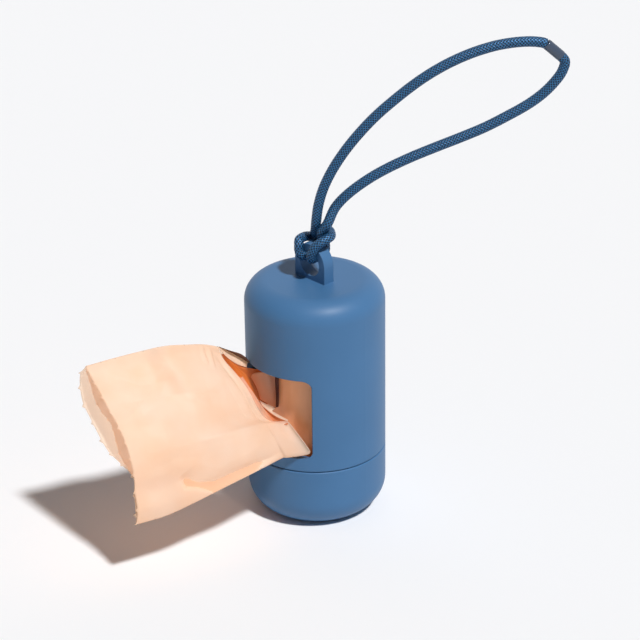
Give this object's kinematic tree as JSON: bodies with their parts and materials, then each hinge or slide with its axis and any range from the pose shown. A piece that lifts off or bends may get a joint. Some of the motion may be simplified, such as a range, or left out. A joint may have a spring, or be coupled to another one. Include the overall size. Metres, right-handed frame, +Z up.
{
  "type": "dog poop bag dispenser",
  "caption": "Round twist-off plastic dispenser that holds a roll of waste bags, with a dispensing window, a lug with a hitched cord loop, and one bag drawn out.",
  "frame": {"origin": "centre of the base's flat underside, on the body's axis", "axes": "+Z up along the body's axis, -Y towards the front, where the window is, +X to the viewer's right when the window is faced"},
  "size_m": [0.085, 0.1324, 0.1581],
  "materials": {
    "body_plastic": "satin moulded plastic, steel blue",
    "core_card": "plain grey-brown card",
    "bag_film": "thin translucent film, peach",
    "cord_braid": "round braid, navy"
  },
  "bodies": {
    "base": {"base_cap": "body_plastic"},
    "core": {"roll_core": "core_card"},
    "roll": {"film_roll": "bag_film"},
    "casing": {"casing": "body_plastic", "drawn_bag": "bag_film", "cord_loop": "cord_braid", "cord_sleeve": "cord_braid"}
  },
  "joints": [
    {"name": "casing_turn", "type": "hinge", "parent": "base", "child": "core", "pos_m": [0, 0, 0.0218], "axis": [0, 0, 1], "range_deg": [0, 972]},
    {"name": "casing_lift", "type": "slide", "parent": "core", "child": "casing", "axis": [0, 0, 1], "range_m": [0, 0.0648]},
    {"name": "roll_spin", "type": "hinge", "parent": "core", "child": "roll", "pos_m": [0, 0, 0.0324], "axis": [0, 0, 1], "continuous": true}
  ],
  "couplings": [
    {"joint": "casing_lift", "follows": "casing_turn", "m_per_rad": 0.0038197}
  ]
}
